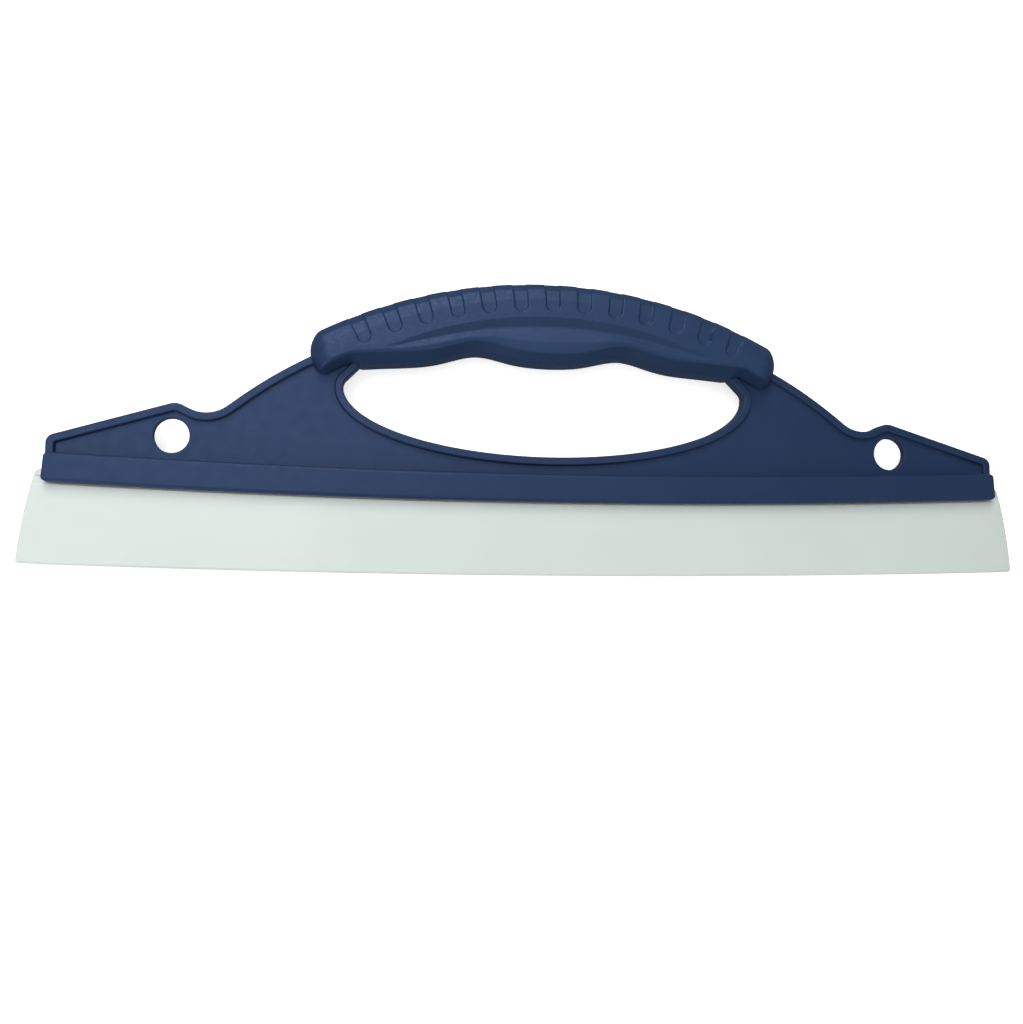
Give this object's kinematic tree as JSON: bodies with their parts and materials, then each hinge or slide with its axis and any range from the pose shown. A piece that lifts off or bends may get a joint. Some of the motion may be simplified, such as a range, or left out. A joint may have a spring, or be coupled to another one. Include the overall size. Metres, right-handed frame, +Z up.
{
  "type": "hand squeegee",
  "caption": "Hand squeegee with a flexible silicone blade in a long curved bar, a flat ribbed web, and a soft-grip loop handle.",
  "frame": {"origin": "centre of the footprint, on the plane that the back of the grip touches when the tool lies flat", "axes": "+X along the blade, +Y from the blade's wiping edge to the handle, +Z up through the thickness, towards the front face"},
  "size_m": [0.3068, 0.0891, 0.017],
  "materials": {
    "frame_plastic": "fine satin moulded polypropylene, dark navy blue",
    "grip_rubber": "soft-touch thermoplastic rubber with a satin sheen, dark navy blue",
    "blade_silicone": "milky translucent silicone with a smooth satin face"
  },
  "bodies": {
    "handle": {"frame": "frame_plastic", "grip": "grip_rubber"},
    "blade_root": {"blade_root": "blade_silicone"},
    "blade_lip": {"blade_lip": "blade_silicone"}
  },
  "joints": [
    {"name": "blade_slide", "type": "hinge", "parent": "handle", "child": "blade_root", "pos_m": [0, 3.17765, 0.0085], "axis": [0, 0, 1], "range_deg": [0, 5.5]},
    {"name": "blade_flex", "type": "hinge", "parent": "blade_root", "child": "blade_lip", "pos_m": [0, -0.02595, 0.0085], "axis": [1, 0, 0], "range_deg": [-35, 35], "stiffness_Nm_per_rad": 0.12}
  ]
}
